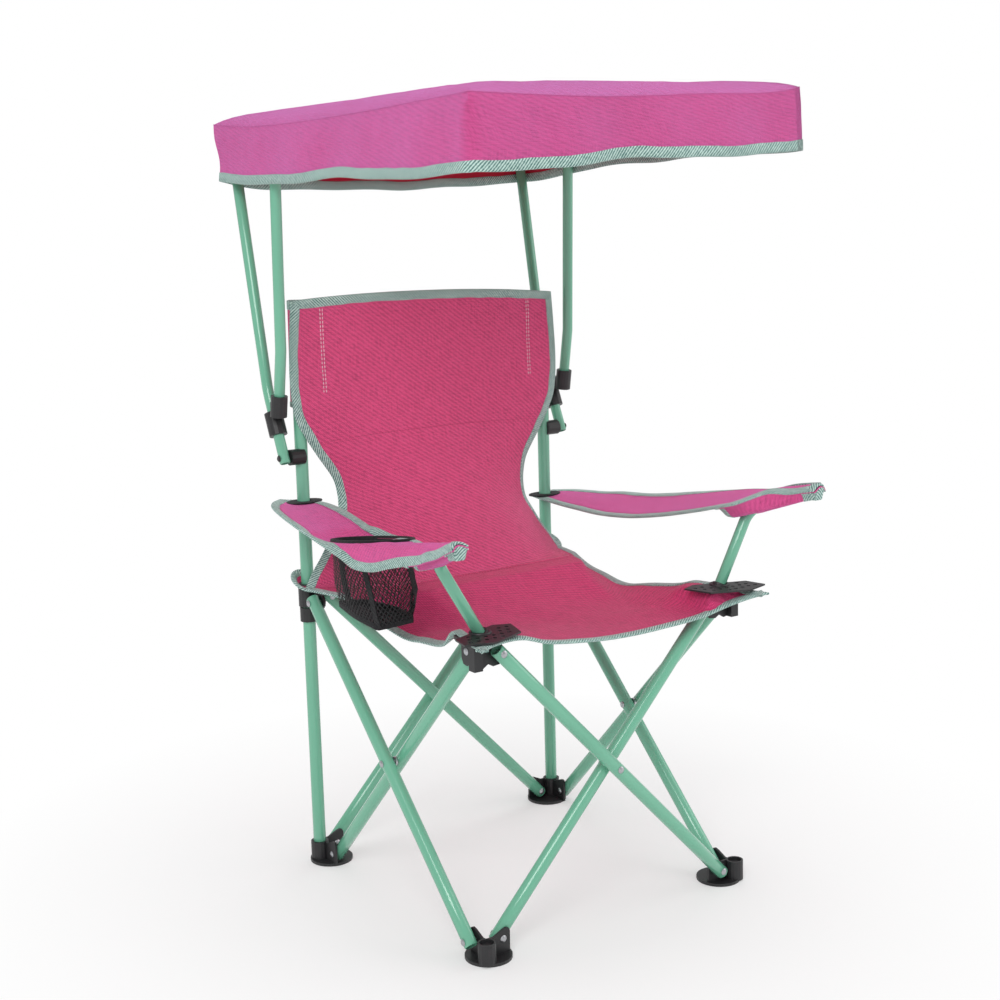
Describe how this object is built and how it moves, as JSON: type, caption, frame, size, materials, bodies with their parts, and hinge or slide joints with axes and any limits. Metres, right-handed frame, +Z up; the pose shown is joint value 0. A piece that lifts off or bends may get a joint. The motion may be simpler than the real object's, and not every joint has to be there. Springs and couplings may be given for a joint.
{
  "type": "kids folding camp chair with canopy",
  "caption": "Small folding sling chair on a crossed-tube frame, with arm panels, a mesh cup bag and a tilting sun canopy on two bent arms.",
  "frame": {"origin": "on the floor, below the middle of the chair's outline", "axes": "+X to the right as seen from the front, +Y to the rear, +Z up; the sitter faces -Y"},
  "size_m": [0.434, 0.4548, 0.7852],
  "materials": {
    "sling_cloth": "woven",
    "painted_steel_tube": "gloss",
    "black_plastic": "satin",
    "canopy_cloth": "woven",
    "cup_mesh": "open mesh",
    "rivet_steel": "polished"
  },
  "bodies": {
    "rear_frame_left": {"rear_post_left": "painted_steel_tube", "foot_rear_left": "black_plastic", "stop_ring_left": "black_plastic", "canopy_bracket_left": "black_plastic", "backrest_sling": "sling_cloth", "rivet_foot_rear_side_left": "rivet_steel", "rivet_foot_rear_cross_left": "rivet_steel"},
    "side_tube_rising_left": {"side_tube_rising_left": "painted_steel_tube", "rivet_centre_left": "rivet_steel"},
    "side_tube_falling_left": {"side_tube_falling_left": "painted_steel_tube"},
    "slider_left": {"slider_left": "black_plastic", "rivet_slider_side_left": "rivet_steel", "rivet_slider_cross_left": "rivet_steel"},
    "foot_front_left": {"foot_front_left": "black_plastic", "rivet_foot_front_side_left": "rivet_steel", "rivet_foot_front_cross_left": "rivet_steel"},
    "hub_left": {"hub_left": "black_plastic", "arm_post_left": "painted_steel_tube", "corner_plate_left": "black_plastic", "arm_panel_left": "sling_cloth", "cup_bag": "cup_mesh", "rivet_hub_side_left": "rivet_steel", "rivet_hub_cross_left": "rivet_steel"},
    "rear_tube_rising": {"rear_tube_rising": "painted_steel_tube", "rivet_centre_rear": "rivet_steel"},
    "rear_tube_falling": {"rear_tube_falling": "painted_steel_tube"},
    "rear_frame_right": {"rear_post_right": "painted_steel_tube", "foot_rear_right": "black_plastic", "stop_ring_right": "black_plastic", "canopy_bracket_right": "black_plastic", "rivet_foot_rear_side_right": "rivet_steel", "rivet_foot_rear_cross_right": "rivet_steel"},
    "slider_right": {"slider_right": "black_plastic", "rivet_slider_side_right": "rivet_steel", "rivet_slider_cross_right": "rivet_steel"},
    "side_tube_rising_right": {"side_tube_rising_right": "painted_steel_tube", "rivet_centre_right": "rivet_steel"},
    "side_tube_falling_right": {"side_tube_falling_right": "painted_steel_tube"},
    "foot_front_right": {"foot_front_right": "black_plastic", "rivet_foot_front_side_right": "rivet_steel", "rivet_foot_front_cross_right": "rivet_steel"},
    "hub_right": {"hub_right": "black_plastic", "arm_post_right": "painted_steel_tube", "corner_plate_right": "black_plastic", "arm_panel_right": "sling_cloth", "rivet_hub_side_right": "rivet_steel", "rivet_hub_cross_right": "rivet_steel"},
    "front_tube_rising": {"front_tube_rising": "painted_steel_tube", "rivet_centre_front": "rivet_steel"},
    "front_tube_falling": {"front_tube_falling": "painted_steel_tube"},
    "canopy_frame_left": {"canopy_rear_arm_left": "painted_steel_tube", "canopy_connector_left": "black_plastic", "canopy_front_arm_left": "painted_steel_tube", "canopy_cover": "canopy_cloth"},
    "canopy_frame_right": {"canopy_rear_arm_right": "painted_steel_tube", "canopy_connector_right": "black_plastic", "canopy_front_arm_right": "painted_steel_tube"},
    "seat": {"seat_sling": "sling_cloth"}
  },
  "joints": [
    {"name": "fold", "type": "hinge", "parent": "rear_frame_left", "child": "side_tube_rising_left", "pos_m": [-0.1415, 0.10796, 0.012], "axis": [-1, 0, 0], "range_deg": [0, 32], "deforming": ["backrest_sling", "seat_sling", "arm_panel_left", "arm_panel_right", "cup_bag", "canopy_cover"]},
    {"name": "cross_left", "type": "hinge", "parent": "side_tube_rising_left", "child": "side_tube_falling_left", "pos_m": [-0.1575, -0.02002, 0.14876], "axis": [1, 0, 0], "range_deg": [0, 64]},
    {"name": "slider_left_pin", "type": "hinge", "parent": "side_tube_falling_left", "child": "slider_left", "pos_m": [-0.1575, 0.11265, 0.28097], "axis": [-1, 0, 0], "range_deg": [0, 32]},
    {"name": "foot_front_left_pin", "type": "hinge", "parent": "side_tube_falling_left", "child": "foot_front_left", "pos_m": [-0.1575, -0.15269, 0.01655], "axis": [-1, 0, 0], "range_deg": [0, 32]},
    {"name": "hub_left_pin", "type": "hinge", "parent": "side_tube_rising_left", "child": "hub_left", "pos_m": [-0.1415, -0.14799, 0.28552], "axis": [1, 0, 0], "range_deg": [0, 32]},
    {"name": "rear_rise", "type": "hinge", "parent": "rear_frame_left", "child": "rear_tube_rising", "pos_m": [-0.13034, 0.14069, 0.01186], "axis": [0, -0.9998, 0.0175], "range_deg": [0, 32]},
    {"name": "rear_cross", "type": "hinge", "parent": "rear_tube_rising", "child": "rear_tube_falling", "pos_m": [0, 0.12704, 0.14662], "axis": [0, 0.9998, -0.0175], "range_deg": [0, 64]},
    {"name": "foot_rear_right_pin", "type": "hinge", "parent": "rear_tube_falling", "child": "rear_frame_right", "pos_m": [0.13034, 0.12469, 0.01214], "axis": [0, -0.9998, 0.0175], "range_deg": [0, 32]},
    {"name": "slider_right_pin", "type": "hinge", "parent": "rear_tube_rising", "child": "slider_right", "pos_m": [0.13034, 0.14538, 0.28083], "axis": [0, 0.9998, -0.0175], "range_deg": [0, 32]},
    {"name": "right_rise", "type": "hinge", "parent": "rear_frame_right", "child": "side_tube_rising_right", "pos_m": [0.1575, 0.10796, 0.012], "axis": [-1, 0, 0], "range_deg": [0, 32]},
    {"name": "cross_right", "type": "hinge", "parent": "side_tube_rising_right", "child": "side_tube_falling_right", "pos_m": [0.1415, -0.02002, 0.14876], "axis": [1, 0, 0], "range_deg": [0, 64]},
    {"name": "foot_front_right_pin", "type": "hinge", "parent": "side_tube_falling_right", "child": "foot_front_right", "pos_m": [0.1415, -0.15269, 0.01655], "axis": [-1, 0, 0], "range_deg": [0, 32]},
    {"name": "hub_right_pin", "type": "hinge", "parent": "side_tube_rising_right", "child": "hub_right", "pos_m": [0.1575, -0.14799, 0.28552], "axis": [1, 0, 0], "range_deg": [0, 32]},
    {"name": "front_rise", "type": "hinge", "parent": "foot_front_left", "child": "front_tube_rising", "pos_m": [-0.13034, -0.15923, 0.01641], "axis": [0, -0.9998, 0.0175], "range_deg": [0, 32]},
    {"name": "front_cross", "type": "hinge", "parent": "front_tube_rising", "child": "front_tube_falling", "pos_m": [0, -0.17288, 0.15117], "axis": [0, 0.9998, -0.0175], "range_deg": [0, 64]},
    {"name": "seat_hang", "type": "hinge", "parent": "slider_left", "child": "seat", "pos_m": [0, 0.13598, 0.29387], "axis": [1, 0, 0], "range_deg": [0, 80]},
    {"name": "canopy_tilt", "type": "hinge", "parent": "rear_frame_left", "child": "canopy_frame_left", "pos_m": [-0.174, 0.13298, 0.4275], "axis": [1, 0, 0], "range_deg": [-60, 10]},
    {"name": "canopy_tilt_right", "type": "hinge", "parent": "rear_frame_right", "child": "canopy_frame_right", "pos_m": [0.174, 0.13298, 0.4275], "axis": [1, 0, 0], "range_deg": [-60, 10]}
  ],
  "couplings": [
    {"joint": "cross_left", "follows": "fold", "ratio": 2},
    {"joint": "slider_left_pin", "follows": "fold", "ratio": 1},
    {"joint": "foot_front_left_pin", "follows": "fold", "ratio": 1},
    {"joint": "hub_left_pin", "follows": "fold", "ratio": 1},
    {"joint": "rear_rise", "follows": "fold", "ratio": 1},
    {"joint": "rear_cross", "follows": "fold", "ratio": 2},
    {"joint": "foot_rear_right_pin", "follows": "fold", "ratio": 1},
    {"joint": "slider_right_pin", "follows": "fold", "ratio": 1},
    {"joint": "right_rise", "follows": "fold", "ratio": 1},
    {"joint": "cross_right", "follows": "fold", "ratio": 2},
    {"joint": "foot_front_right_pin", "follows": "fold", "ratio": 1},
    {"joint": "hub_right_pin", "follows": "fold", "ratio": 1},
    {"joint": "front_rise", "follows": "fold", "ratio": 1},
    {"joint": "front_cross", "follows": "fold", "ratio": 2},
    {"joint": "seat_hang", "follows": "fold", "ratio": 2.5},
    {"joint": "canopy_tilt_right", "follows": "canopy_tilt", "ratio": 1}
  ]
}
